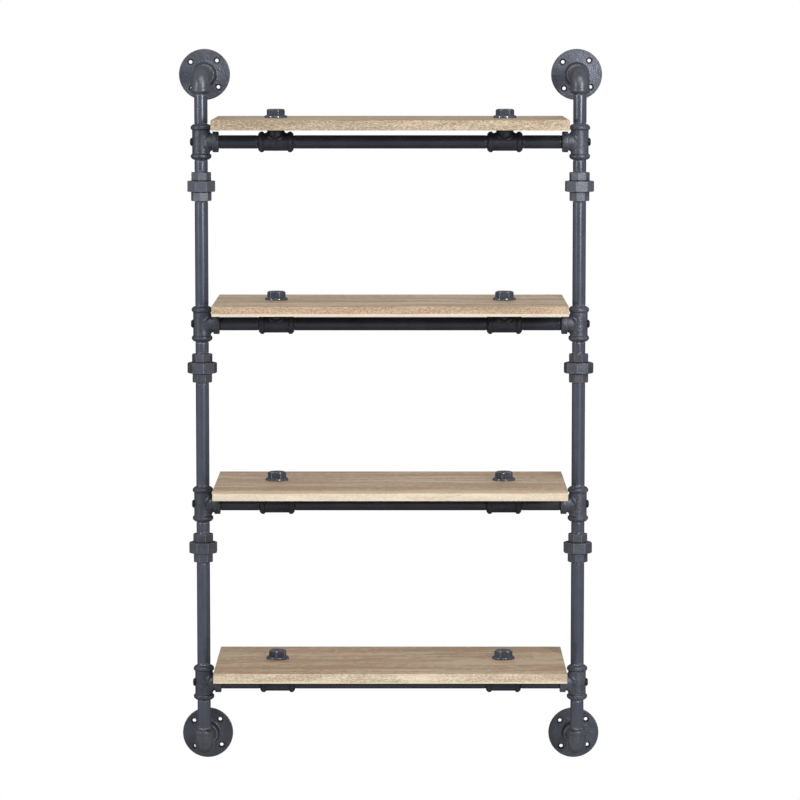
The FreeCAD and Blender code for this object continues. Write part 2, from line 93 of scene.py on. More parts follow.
def ringRows(rings, turns, wearAndPaintedLight=0.0):
    # round rows from (radius, height) pairs: radius by row and turn, height by row, and wear and
    # painted light
    radius, height = np.array(rings, float).T
    radius = radius[:, None] + 0 * turns
    return radius, height, wearAndPaintedLight + 0 * radius


def turnedRows(parts, turns):
    # rows of radius, height and wear and painted light, one part of them after another, carried
    # round the Z axis
    radius, height, wearAndPaintedLight = (np.concatenate(rows) for rows in zip(*parts))
    return turned(radius, height, turns, wearAndPaintedLight)


def moved(shape, where=(0, 0, 0), turn=np.eye(3)):
    return {**shape, "points": shape["points"] @ np.asarray(turn, float).T + np.asarray(where)}


def turnAbout(axis, degrees):
    # the matrix of a turn about one axis, which mixes the two others by cosine and sine
    c, s = math.cos(math.radians(degrees)), math.sin(math.radians(degrees))
    first, second = (axis + 1) % 3, (axis + 2) % 3
    turn = np.eye(3)
    turn[first, first], turn[first, second] = c, -s
    turn[second, first], turn[second, second] = s, c
    return turn


def together(shapes):
    starts = np.cumsum([0] + [len(shape["points"]) for shape in shapes[:-1]])
    return {
        "points": np.concatenate([shape["points"] for shape in shapes]),
        "corners": np.concatenate([s["corners"] + start for s, start in zip(shapes, starts)]),
        "counts": np.concatenate([shape["counts"] for shape in shapes]),
        "wearAndPaintedLight": np.concatenate([shape["wearAndPaintedLight"] for shape in shapes]),
    }


def smoothStep(value, low, high):
    # 0 below low, 1 above high, eased between them
    t = np.clip((value - low) / (high - low), 0, 1)
    return t * t * (3 - 2 * t)


def near(value, place, reach):
    # 1 at a place, fading to 0 at about twice the reach from it
    return np.exp(-((value - place) / reach) ** 2)


def buildMesh(name, shape):
    mesh = bpy.data.meshes.new(name)
    mesh.vertices.add(len(shape["points"]))
    mesh.vertices.foreach_set("co", shape["points"].ravel() * mm)
    mesh.loops.add(len(shape["corners"]))
    mesh.loops.foreach_set("vertex_index", shape["corners"].astype(np.int32))
    mesh.polygons.add(len(shape["counts"]))
    starts = np.concatenate([[0], np.cumsum(shape["counts"])[:-1]])
    mesh.polygons.foreach_set("loop_start", starts.astype(np.int32))
    mesh.update(calc_edges=True)
    mesh.attributes.new("wearAndPaintedLight", "FLOAT", "POINT").data.foreach_set("value", shape["wearAndPaintedLight"])
    return mesh


def addObject(name, data):
    item = bpy.data.objects.new(name, data)
    bpy.context.scene.collection.objects.link(item)
    return item


def weldedObject(name, shape):
    # a new object whose points that lie together are merged, such as those of a pole
    item = addObject(name, buildMesh(name, shape))
    item.modifiers.new("weld", "WELD").merge_threshold = weldReach
    return item


def finishedMesh(item):
    # the mesh that an object's modifiers give
    evaluated = item.evaluated_get(bpy.context.evaluated_depsgraph_get())
    return bpy.data.meshes.new_from_object(evaluated)


def combined(shape, tool, operation):
    # one solid joined to another (UNION) or cut by it (DIFFERENCE)
    pair = [weldedObject("working", part) for part in (shape, tool)]
    cut = pair[0].modifiers.new("combine", "BOOLEAN")
    cut.operation = operation
    cut.solver = "EXACT"
    cut.object = pair[1]
    mesh = finishedMesh(pair[0])
    points = np.empty(len(mesh.vertices) * 3)
    corners = np.empty(len(mesh.loops), np.int32)
    counts = np.empty(len(mesh.polygons), np.int32)
    mesh.vertices.foreach_get("co", points)
    mesh.loops.foreach_get("vertex_index", corners)
    mesh.polygons.foreach_get("loop_total", counts)
    for item in pair:
        bpy.data.objects.remove(item)
    bpy.data.meshes.remove(mesh)
    return makeShape(points / mm, corners, counts)


def makePiece(name, shape, finish, node):
    piece = weldedObject(name, shape)
    piece.data = finishedMesh(piece)
    piece.modifiers.clear()
    piece.data.shade_smooth()
    piece.data.set_sharp_from_angle(angle=math.radians(creaseAngle))
    piece.data.materials.append(finish)
    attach(piece, "root")
    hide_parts(node)


# places, read from the frame, in millimetres

def nodeBox(node):
    low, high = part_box(node)
    return np.array(low) / mm, np.array(high) / mm


def nodeMiddle(node):
    low, high = nodeBox(node)
    return (low + high) / 2


columnX = {side: nodeMiddle(f"column_pipe_{side}_1")[0] for side in sides}
standOff = nodeMiddle("column_pipe_left_1")[1]
barZ = {level: nodeMiddle(f"crossbar_pipe_{level}")[2] for level in levels}
cornerZ = {end: nodeMiddle(f"wall_nipple_{end}_left")[2] for end in ends}


class Wire:
    # one output of a shader node; arithmetic on it adds Math nodes
    def __init__(self, tree, socket):
        self.tree = tree
        self.socket = socket

    def node(self, kind, settings=None, inputs=None, output=0):
        made = self.tree.nodes.new(kind)
        for name, setting in (settings or {}).items():
            setattr(made, name, setting)
        for name, given in (inputs or {}).items():
            socket = made.inputs[name]
            if isinstance(given, Wire):
                self.tree.links.new(given.socket, socket)
            elif socket.type == "RGBA":
                socket.default_value = (*given, 1)
            else:
                socket.default_value = given
        return Wire(self.tree, made.outputs[output])

    def maths(self, operation, first, second):
        return self.node("ShaderNodeMath", {"operation": operation}, {0: first, 1: second})

    def __add__(self, other):
        return self.maths("ADD", self, other)

    def __mul__(self, other):
        return self.maths("MULTIPLY", self, other)

    def __sub__(self, other):
        return self.maths("SUBTRACT", self, other)

    def __rsub__(self, other):
        return self.maths("SUBTRACT", other, self)

    __radd__ = __add__
    __rmul__ = __mul__

    def orMore(self, other):
        return self.maths("MAXIMUM", self, other)

    def eased(self, low, high):
        # 0 below low and 1 above high, eased between
        return self.node("ShaderNodeMapRange", {"interpolation_type": "SMOOTHSTEP"},
                         {"Value": self, "From Min": low, "From Max": high})

    def blend(self, first, second):
        # the first colour where this is 0 and the second where it is 1
        return self.node("ShaderNodeMix", {"data_type": "RGBA"},
                         {"Factor": self, 6: first, 7: second}, output=2)

    def along(self, axis):
        # the part of a vector along one axis
        return self.node("ShaderNodeSeparateXYZ", None, {"Vector": self}, output=axis)

    def stretched(self, scale, offset=(0, 0, 0), turn=(0, 0, 0)):
        return self.node("ShaderNodeMapping", None, {
            "Vector": self, "Location": offset, "Rotation": turn, "Scale": scale})

    def noise(self, scale, detail=2.0, roughness=0.5, distortion=0.0):
        return self.node("ShaderNodeTexNoise", None,
                         {"Vector": self, "Scale": scale, "Detail": detail,
                          "Roughness": roughness, "Distortion": distortion})

    def relief(self):
        # a normal from heights in metres
        return self.node("ShaderNodeBump", None, {"Height": self, "Distance": 1.0})


def newFinish(name):
    # a new material, its Principled shader and its Object coordinates
    finish = bpy.data.materials.new(name)
    finish.use_nodes = True
    tree = finish.node_tree
    shader = tree.nodes["Principled BSDF"]
    where = Wire(tree, tree.nodes.new("ShaderNodeTexCoord").outputs["Object"])
    return finish, shader, where


def feed(shader, name, given):
    if isinstance(given, Wire):
        given.tree.links.new(given.socket, shader.inputs[name])
    else:
        shader.inputs[name].default_value = given


# metals: grain, lumps and drawn are scales of noise, worked on coordinates in metres; depths are
# in metres; shares say how much of a thing shows, from 0 to 1

castIronLook = {
    "colour": (0.030, 0.034, 0.048), "shade": (0.014, 0.016, 0.023), "worn": (0.11, 0.11, 0.12),
    "rust": (0.115, 0.058, 0.036), "rustShare": 0.12, "rough": 0.38, "roughVary": 0.16,
    "grain": 420, "grainDepth": 0.00050, "lumps": 150, "lumpDepth": 0.00060, "gloss": 0.60,
    "drawn": (260, 260, 260), "stain": (0.046, 0.034, 0.034), "stainShare": 0.15, "pits": 0.30,
}
pipeLook = {
    "colour": (0.026, 0.029, 0.043), "shade": (0.018, 0.021, 0.032), "worn": (0.17, 0.17, 0.19),
    "rust": (0.10, 0.055, 0.035), "rustShare": 0.06, "rough": 0.27, "roughVary": 0.06,
    "grain": 700, "grainDepth": 0.00001, "lumps": 90, "lumpDepth": 0.00004, "gloss": 0.67,
    "drawn": (420, 420, 9), "stain": (0.022, 0.020, 0.024), "stainShare": 0.0, "pits": 0.0,
}
# the left tees are painted darker and the right ones paler: painted shade and light for the
# stronger lamp on the right; their stains and pits are their own
paintedLightTeeLooks = {
    "left": {**castIronLook, "colour": (0.023, 0.026, 0.037), "shade": (0.009, 0.010, 0.015),
             "stain": (0.026, 0.021, 0.022), "stainShare": 0.30, "pits": 0.85},
    "right": {**castIronLook, "colour": (0.047, 0.050, 0.068), "shade": (0.022, 0.023, 0.033),
              "stain": (0.056, 0.045, 0.045), "stainShare": 0.42, "pits": 0.80},
}
elbowLook = {
    **castIronLook, "colour": (0.038, 0.040, 0.051), "shade": (0.022, 0.020, 0.023),
    "rough": 0.36, "grainDepth": 0.00022, "lumpDepth": 0.00030,
}
# the top flanges are painted paler and the bottom ones darker, the bottom left darkest: painted
# light and shade for how the lamps fall
paintedLitFlangeLook = {
    **castIronLook, "colour": (0.040, 0.044, 0.060), "shade": (0.018, 0.020, 0.028),
    "grainDepth": 0.00042, "lumpDepth": 0.00048,
}
paintedShadeFlangeLooks = {
    "left": {**paintedLitFlangeLook, "colour": (0.016, 0.018, 0.026), "shade": (0.008, 0.009, 0.014)},
    "right": {**paintedLitFlangeLook, "colour": (0.028, 0.031, 0.043), "shade": (0.013, 0.014, 0.021)},
}
# the unions of the top joint, above the middle of the top bay, are painted paler: painted light,
# as the lamps hang high
unionLook = {
    **castIronLook, "colour": (0.032, 0.035, 0.047), "worn": (0.12, 0.11, 0.115),
    "rust": (0.19, 0.085, 0.048), "rustShare": 0.42, "rough": 0.40,
    "paintedTopLight": (0.058, 0.061, 0.078), "paintedTopLightFrom": (barZ[1] + barZ[2]) / 2 * mm,
    "paintedTopLightFade": 0.01, "paintedTopLightShare": 0.6, "grainDepth": 0.00026, "lumpDepth": 0.00030,
}
# the crossbar tees and pipes are darker, less glossy copies of the cast iron and pipe finishes:
# painted shade for the shadow under the boards
paintedShadeCrossbarIronLook = {
    **castIronLook, "colour": (0.018, 0.018, 0.023), "shade": (0.010, 0.011, 0.015),
    "worn": (0.028, 0.028, 0.032), "rust": (0.05, 0.030, 0.020), "gloss": 0.30,
}
paintedShadeCrossbarPipeLook = {
    **pipeLook, "colour": (0.021, 0.022, 0.029), "shade": (0.015, 0.016, 0.022),
    "worn": (0.06, 0.06, 0.06), "rust": (0.04, 0.03, 0.022), "gloss": 0.31,
    "drawn": (9, 420, 420),
}
fasteningLook = {
    **pipeLook, "colour": (0.007, 0.007, 0.009), "shade": (0.004, 0.004, 0.006),
    "rough": 0.30, "gloss": 0.22,
}
# the plug's rubbed colour is bright: on its rim, top edge and corners it is partly a painted
# highlight
plugLook = {
    **castIronLook, "colour": (0.026, 0.029, 0.041), "shade": (0.010, 0.011, 0.016),
    "worn": (0.20, 0.20, 0.23), "rustShare": 0.03, "rough": 0.16, "roughVary": 0.04,
    "grain": 700, "grainDepth": 0.00008, "lumps": 160, "lumpDepth": 0.00020, "gloss": 0.85,
    "stainShare": 0.0,
}

# what every metal shares: noises by scale, detail and roughness, or by detail and roughness
# where the look gives the scale; each Edge is the pair of values between which a share rises
metalSkin = {
    "patches": (38, 4, 0.6), "patchEdge": (0.35, 0.65), "stains": (62, 3, 0.6),
    "stainEdge": (0.48, 0.60), "scuffs": (260, 3, 0.7), "scuffGain": 2.0,
    "scuffEdge": (0.50, 1.10), "rustSpots": (70, 2, 0.5), "rustFade": 0.08, "grain": (2, 0.6),
    "pitEdge": (0.52, 0.62), "lumps": (2, 0.5), "drawn": (3, 0.7), "rustRough": 0.12,
    "turnedEdge": (0.20, 0.60), "dullRough": 0.95, "pitsAndPaintedShade": (0.004, 0.004, 0.005),
    "glossTint": (0.82, 0.88, 1.0, 1),
}


def metalFinish(name, look):
    # dark oiled skin in soft patches, fine cast grain, edges rubbed bright and a little rusty, the
    # rub partly a painted highlight; duller where the surface turns away; painted shade, dark and
    # dull, where the field is below 0
    finish, shader, where = newFinish(name)
    shared = metalSkin
    grain = where.noise(look["grain"], *shared["grain"])
    lumps = where.noise(look["lumps"], *shared["lumps"])
    drawn = where.stretched(look["drawn"]).noise(1.0, *shared["drawn"])
    # the field: above 0 rubbed bright, partly a painted highlight; below 0 painted shade
    edge = where.node("ShaderNodeAttribute", {"attribute_name": "wearAndPaintedLight"}, output=2)
    scuffsAndHighlights = edge * where.noise(*shared["scuffs"]) * shared["scuffGain"]
    rubbedAndPaintedHighlight = scuffsAndHighlights.eased(*shared["scuffEdge"])
    paintedShade = (edge * -1).eased(0, 1)
    rustFrom = 1 - look["rustShare"]
    spots = where.noise(*shared["rustSpots"]).eased(rustFrom, rustFrom + shared["rustFade"])
    rusty = rubbedAndPaintedHighlight * spots
    patches = where.noise(*shared["patches"]).eased(*shared["patchEdge"])
    skin = patches.blend(look["shade"], look["colour"])
    stained = where.noise(*shared["stains"]).eased(*shared["stainEdge"]) * look["stainShare"]
    skin = stained.blend(skin, look["stain"])
    pitted = (1 - grain).eased(*shared["pitEdge"]) * look["pits"]
    skin = pitted.blend(skin, shared["pitsAndPaintedShade"])
    # painted light: paler from a height up
    if "paintedTopLight" in look:
        paintedTopLight = where.along(zAxis).eased(look["paintedTopLightFrom"], look["paintedTopLightFrom"] + look["paintedTopLightFade"])
        skin = (paintedTopLight * look["paintedTopLightShare"]).blend(skin, look["paintedTopLight"])
    metal = rusty.blend(rubbedAndPaintedHighlight.blend(skin, look["worn"]), look["rust"])
    # painted shade: dark colour where the field is below 0
    feed(shader, "Base Color", paintedShade.blend(metal, shared["pitsAndPaintedShade"]))
    rough = look["rough"] + look["roughVary"] * (drawn - 0.5) + shared["rustRough"] * rusty
    turnedAway = where.node("ShaderNodeLayerWeight", None, {"Blend": 0.5}, output=1)
    dull = paintedShade.orMore(turnedAway.eased(*shared["turnedEdge"]))
    feed(shader, "Roughness", rough + (shared["dullRough"] - rough) * dull)
    feed(shader, "Specular IOR Level", look["gloss"])
    feed(shader, "Specular Tint", shared["glossTint"])
    height = grain * look["grainDepth"] + lumps * look["lumpDepth"]
    feed(shader, "Normal", height.relief())
    return finish


paintedLightTeeIron = {side: metalFinish(f"{side}TeeIronPaintedLight", paintedLightTeeLooks[side]) for side in sides}
pipeSteel = metalFinish("pipeSteel", pipeLook)
elbowIron = metalFinish("elbowIron", elbowLook)
unionIron = metalFinish("unionIron", unionLook)
# painted light on the top flanges, painted shade on the bottom ones
paintedLitFlangeIron = metalFinish("paintedLitFlangeIron", paintedLitFlangeLook)
flangeIron = {
    "top": {side: paintedLitFlangeIron for side in sides},
    "bottom": {side: metalFinish(f"bottomFlangeIron_{side}", paintedShadeFlangeLooks[side])
               for side in sides},
}
# painted shade on the crossbar tees and pipes
paintedShadeCrossbarIron = metalFinish("paintedShadeCrossbarIron", paintedShadeCrossbarIronLook)
paintedShadeCrossbarSteel = metalFinish("paintedShadeCrossbarSteel", paintedShadeCrossbarPipeLook)
fasteningSteel = metalFinish("fasteningSteel", fasteningLook)
plugSteel = metalFinish("plugSteel", plugLook)


oakLook = {
    "top": (0.460, 0.358, 0.252), "topShade": (0.300, 0.200, 0.125),
    "topPale": (0.55, 0.455, 0.345), "red": (0.395, 0.243, 0.148), "olive": (0.430, 0.372, 0.240),
    "ray": (0.60, 0.50, 0.385), "pore": (0.20, 0.125, 0.075), "rough": 0.62, "roughVary": 0.16,
    "gloss": 0.25, "streakDepth": 0.00012, "poreDepth": 0.00010, "fleckDepth": 0.00006,
}
# noises of the wood: their scale along X, Y and Z, which way they shift from board to board, and
# their detail, roughness and distortion
oakNoises = {
    "streaks": ((18, 340, 420), (0, 0, 0), 3, 0.6, 0.0),
    "pores": ((60, 1400, 1500), (0, 0, 0), 2, 0.7, 0.0),
    "patches": ((3.5, 22, 22), (1, 0, 0), 3, 0.6, 0.3),
    "bands": ((6, 62, 62), (0, 1, 0), 5, 0.68, 0.3),
    "mottles": ((85, 150, 150), (0, 1, 0), 4, 0.75, 0.4),
    "tint": ((11, 56, 120), (0, 0, 1), 4, 0.65, 0.0),
    "rays": ((260, 110, 260), (0, 0, 1), 2, 0.6, 0.0),
    "zones": ((11, 11, 70), (0, 0, 1), 2, 0.5, 0.0),
    "flecks": ((280, 280, 930), (0, 0, 0), 5, 0.82, 0.0),
}
# layers of the wood: the values of a noise between which a layer rises, and how much it shows
oakLayers = {
    "light": (0.28, 0.60, 1.0), "palePatch": (0.52, 0.70, 0.5), "paleStreak": (0.55, 0.80, 0.5),
    "ray": (0.60, 0.74, 0.25), "red": (0.51, 0.66, 1.0), "olive": (0.52, 0.68, 1.0),
    "pore": (0.58, 0.72, 0.6), "zone": (0.38, 0.62, 1.0), "fleck": (0.1, 0.9, 1.0),
}
# how the noises add up to the tone of a top and of a front edge, how much each is tinted, and
# between which depths from the front, in millimetres, the one gives way to the other
topMix = {
    "bands": 1.4, "patches": 0.9, "mottles": 1.8, "staves": (-0.17, 0.15), "drop": 1.57,
    "tint": 0.5,
}
frontMix = {
    "flecks": 5.4, "flecksInZones": 3.6, "patches": 1.7, "zones": 0.35, "tint": 0.15,
    "stripShare": 0.85, "stripSoft": 0.05, "stripWander": 0.004, "from": 0.2, "to": 0.9,
}
# each front edge: the dark and the light of its flecks, how strong and how slanted they are,
# between which shares of the board's height a strip of another tone runs, and that tone
frontLooks = {
    1: {"dark": (0.192, 0.145, 0.098), "light": (0.458, 0.372, 0.270), "flecks": 1.1,
        "slant": 11},
    2: {"dark": (0.235, 0.155, 0.098), "light": (0.445, 0.340, 0.237), "flecks": 1.1,
        "slant": -5, "strip": (0.0, 0.27), "stripTone": (0.560, 0.500, 0.410)},
    3: {"dark": (0.440, 0.375, 0.285), "light": (0.565, 0.500, 0.400), "flecks": 0.6,
        "slant": 6, "strip": (0.76, 1.1), "stripTone": (0.300, 0.205, 0.132)},
    4: {"dark": (0.275, 0.215, 0.148), "light": (0.553, 0.475, 0.356), "flecks": 0.66,
        "slant": -17, "strip": (0.0, 0.14), "stripTone": (0.570, 0.500, 0.390)},
}
# by how much each board's top is paler or darker in red, green and blue
topTones = {1: (1.0, 1.0, 1.0), 2: (1.10, 1.13, 1.155), 3: (1.04, 1.04, 1.03),
            4: (0.98, 0.95, 0.91)}
# where the staves of a board meet, from its front edge, and how wide a seam is, in millimetres
staveEdges = {1: (70, 150), 2: (95, 180), 3: (16, 110, 190), 4: (42, 128, 200)}
staveSeam = 0.6


def oakNoise(where, name, level, slant=0):
    scale, shift, detail, roughness, distortion = oakNoises[name]
    offset = [level * part for part in shift]
    spread = where.stretched(scale, offset, (0, math.radians(slant), 0))
    return spread.noise(1.0, detail, roughness, distortion)


def oakLayer(noise, name):
    low, high, share = oakLayers[name]
    return noise.eased(low, high) * share


def oakFinish(level):
    # straight grain along the board: a tone for each stave, broad bands, fine streaks and short
    # dark pores; the sawn front edge shows slanted flecks and a strip of another tone
    finish, shader, where = newFinish(f"oakBoard{level}")
    front = frontLooks[level]
    top, topShade, topPale = (
        tuple(part * tone for part, tone in zip(oakLook[name], topTones[level]))
        for name in ("top", "topShade", "topPale"))
    low, high = (corner * mm for corner in nodeBox(f"shelf_board_{level}"))
    streaks, pores, patches, bands, mottles, tint, rays, zones = (
        oakNoise(where, name, level) for name in
        ("streaks", "pores", "patches", "bands", "mottles", "tint", "rays", "zones"))
    back = where.along(yAxis)
    staves = 0.0
    for number, edge in enumerate(staveEdges[level]):
        seam = low[1] + edge * mm
        staves = staves + back.eased(seam, seam + staveSeam * mm) * topMix["staves"][number % 2]
    tone = bands * topMix["bands"] + patches * topMix["patches"]
    tone = tone + mottles * topMix["mottles"] + staves - topMix["drop"]
    face = oakLayer(tone, "light").blend(topShade, top)
    pale = oakLayer(patches, "palePatch") + oakLayer(streaks, "paleStreak")
    face = oakLayer(rays, "ray").blend(pale.blend(face, topPale), oakLook["ray"])
    flecks = oakNoise(where, "flecks", level, front["slant"])
    inZone = oakLayer(zones, "zone")
    contrast = front["flecks"] * (frontMix["flecks"] + frontMix["flecksInZones"] * inZone)
    tone = (flecks - 0.5) * contrast + (patches - 0.5) * frontMix["patches"]
    tone = tone + (0.5 - inZone) * frontMix["zones"] + 0.5
    sawn = oakLayer(tone, "fleck").blend(front["dark"], front["light"])
    if "strip" in front:
        wander = (bands - 0.5) * frontMix["stripWander"]
        height = (where.along(zAxis) + wander - low[2]) * (1 / (high[2] - low[2]))
        start, stop = front["strip"]
        soft = frontMix["stripSoft"]
        inStrip = height.eased(start - soft, start + soft)
        inStrip = inStrip * (1 - height.eased(stop - soft, stop + soft))
        sawn = (inStrip * frontMix["stripShare"]).blend(sawn, front["stripTone"])
    isFront = 1 - back.eased(low[1] + frontMix["from"] * mm, low[1] + frontMix["to"] * mm)
    wood = isFront.blend(face, sawn)
    tinted = topMix["tint"] + (frontMix["tint"] - topMix["tint"]) * isFront
    wood = (oakLayer(tint, "red") * tinted).blend(wood, oakLook["red"])
    wood = (oakLayer(1 - tint, "olive") * tinted).blend(wood, oakLook["olive"])
    wood = oakLayer(pores, "pore").blend(wood, oakLook["pore"])
    feed(shader, "Base Color", wood)
    feed(shader, "Roughness", oakLook["rough"] + oakLook["roughVary"] * (streaks - 0.5))
    feed(shader, "Specular IOR Level", oakLook["gloss"])
    grain = streaks * oakLook["streakDepth"] + pores * oakLook["poreDepth"]
    feed(shader, "Normal", (grain + flecks * oakLook["fleckDepth"]).relief())
    return finish


print("finishes made")


pipeForm = {
    "outer": 10.65, "bore": 7.9, "grip": 13.0, "endRow": 1.2, "threadPitch": 1.814,
    "threadDepth": 0.55, "threadShows": 3.6, "threadFade": 2.2, "stepsPerPitch": 7, "wearAndPaintedLight": 0.7,
    "wearPast": 2.0, "wearFade": 3.0, "turns": 48,
}


def pipeShape(length):
    # a tube along +Z whose ends carry a screw thread: the radius is the outer one less a
    # triangle wave of height minus turn, which fades out along the last stretch
    form = pipeForm
    turns = evenTurns(form["turns"])
    threadEnd = form["grip"] + form["threadShows"]
    step = form["threadPitch"] / form["stepsPerPitch"]
    fine = np.arange(form["grip"] - form["threadPitch"], threadEnd, step)
    lower = np.concatenate([[0, form["endRow"]], fine, [threadEnd]])
    height = np.concatenate([lower, [length / 2], (length - lower)[::-1]])
    fromEnd = np.minimum(height, length - height)[:, None]
    wave = (height[:, None] / form["threadPitch"] - turns / (2 * math.pi)) % 1
    depth = form["threadDepth"] * smoothStep(threadEnd - fromEnd, 0, form["threadFade"])
    radius = form["outer"] - depth * np.abs(2 * wave - 1)
    worn = smoothStep(threadEnd + form["wearPast"] - fromEnd, 0, form["wearFade"])
    bore = ringRows([(form["bore"], length), (form["bore"], 0)], turns)
    return turnedRows([(radius, height, form["wearAndPaintedLight"] * worn + 0 * radius), bore], turns)


def makeTubes(node, length, starts, turn=np.eye(3), finish=pipeSteel):
    # the same tube at each start, as one piece
    tube = pipeShape(length)
    shape = together([moved(tube, start, turn) for start in starts])
    makePiece(node + ("_tubes" if len(starts) > 1 else "_tube"), shape, finish, node)


def makeUprightPipe(node):
    low, high = nodeBox(node)
    makeTubes(node, high[2] - low[2], [((low[0] + high[0]) / 2, standOff, low[2])])


for side in sides:
    for joint in joints:
        makeUprightPipe(f"column_pipe_{side}_{joint}")
    for end in ends:
        makeUprightPipe(f"end_pipe_{end}_{side}")
        node = f"wall_nipple_{end}_{side}"
        low, high = nodeBox(node)
        makeTubes(node, high[1] - low[1], [(columnX[side], high[1], cornerZ[end])],
                  turnAbout(xAxis, 90))

for joint in joints:
    node = f"union_nipples_{joint}"
    low, high = nodeBox(node)
    makeTubes(node, high[2] - low[2], [(columnX[side], standOff, low[2]) for side in sides])

for level in levels:
    pipeLow, pipeHigh = nodeBox(f"crossbar_pipe_{level}")
    makeTubes(f"crossbar_pipe_{level}", pipeHigh[0] - pipeLow[0],
              [(pipeLow[0], standOff, barZ[level])], turnAbout(yAxis, 90), paintedShadeCrossbarSteel)
    low, high = nodeBox(f"crossbar_nipples_{level}")
    length = nodeBox("crossbar_tees_1")[0][0] + pipeForm["grip"] - low[0]
    makeTubes(f"crossbar_nipples_{level}", length,
              [(start, standOff, barZ[level]) for start in (low[0], high[0] - length)],
              turnAbout(yAxis, 90), paintedShadeCrossbarSteel)
print("pipes made")


castForm = {
    "reach": 28.0, "body": 14.2, "beadRise": 2.3, "beadTip": 4.2, "beadRidge": 7.1,
    "beadFoot": 9.7, "tipDrop": 3.9, "tipCurve": 1.6, "ridgeMiddle": 5.6, "beadRubAndHighlight": 0.5,
    "ridgeRubAndHighlightReach": 1.4, "beadRows": (7, 5, 9), "rowGap": 0.6, "footGap": 0.5, "socket": 10.7,
    "waterway": 9.0, "grip": 13.0, "turns": 64,
}
# an elbow's body is fuller than a tee's, so its bead stands out less
elbowForm = {
    **castForm, "body": 15.2, "beadRise": 0.9, "beadTip": 3.4, "tipDrop": 2.8, "beadRidge": 8.0,
    "beadFoot": 9.0, "ridgeMiddle": 7.8, "beadRubAndHighlight": 0.35, "bend": 15.0, "bendRows": 25,
    "bendGap": 0.3,
}
teeForm = {
    **castForm, "waist": 15.0, "waistRows": 13, "branch": 13.4, "branchFrom": 4.0,
    "branchRows": 22, "branchGap": 0.3, "collarRise": 3.1, "collarLength": 9.7, "collarRows": 5,
    "collarRound": 1.3, "collarFillet": 1.3, "saddleFlare": 4.2, "screwHole": 3.2,
    "screwReach": 20.0, "screwTurns": 24, "overcut": 1.0,
}
# where a tee is rubbed, on its bead partly a painted highlight: how far out its bead and its
# collar are, from where along the branch the collar counts, and how far in and how wide the
# collar's rubbed edges are
teeRub = {
    "beadOut": (15.2, 16.1), "collarOut": (15.4, 16.1), "collarFrom": (14.0, 18.0), "inset": 0.3,
    "outerReach": 0.8, "innerReach": 0.7,
}
teeOuter = nodeBox("crossbar_tees_1")[1][0]
plugX = {"left": castForm["reach"] - teeOuter, "right": teeOuter - castForm["reach"]}


def beadRise(fromEnd, form):
    # how far a cast end stands out from the body: a tapered tip, a round ridge, a soft foot
    tip = form["tipDrop"] * np.clip(1 - fromEnd / form["beadTip"], 0, 1) ** form["tipCurve"]
    foot = 1 - smoothStep(fromEnd, form["beadRidge"], form["beadFoot"])
    return form["beadRise"] * foot - tip


def endSteps(form):
    # distances from a cast end at which rows lie, close together over the bead
    tipRows, ridgeRows, footRows = form["beadRows"]
    ridgeFrom, footFrom = form["beadTip"] + form["rowGap"], form["beadRidge"] + form["footGap"]
    return np.concatenate([np.linspace(0, form["beadTip"], tipRows),
                           np.linspace(ridgeFrom, form["beadRidge"], ridgeRows),
                           np.linspace(footFrom, form["beadFoot"] + form["rowGap"], footRows)])


def beadRubAndHighlight(fromEnd, form):
    # rubbed bright on the ridge, partly a painted highlight
    return form["beadRubAndHighlight"] * near(fromEnd, form["ridgeMiddle"], form["ridgeRubAndHighlightReach"])


def branchShape():
    # along +Z, to be laid along +X: a pipe with a square collar, which widens by a quarter
    # circle where it meets the run, less where run and branch are side by side
    form = teeForm
    turns = evenTurns(form["turns"])
    reach = form["reach"]
    start = reach - form["collarLength"]
    corner = np.linspace(0, 1, form["collarRows"])
    curve = 1 - np.sqrt(1 - corner ** 2)
    foot = start - form["collarFillet"]
    along = np.concatenate([
        np.linspace(form["branchFrom"], foot - form["branchGap"], form["branchRows"]),
        start - form["collarFillet"] * (1 - corner),
        start + form["collarRound"] * (1 - corner[::-1]),
        reach - form["collarRound"] * (1 - corner),
    ])
    collar = form["collarRise"] - form["collarRound"] * curve
    rise = np.concatenate([np.zeros(form["branchRows"]), form["collarFillet"] * curve,
                           collar[::-1], collar])
    sideways = form["branch"] * np.cos(turns)
    runFace = np.sqrt(form["body"] ** 2 - sideways ** 2)
    away = np.clip((along[:, None] - runFace) / form["saddleFlare"], 0, 1)
    flare = form["saddleFlare"] * (1 - np.sqrt(1 - (1 - away) ** 2)) * runFace / form["body"]
    radius = form["branch"] + rise[:, None] + flare
    return turnedRows([ringRows([(0, along[0])], turns), (radius, along, 0 * radius),
                       ringRows([(0, reach)], turns)], turns)


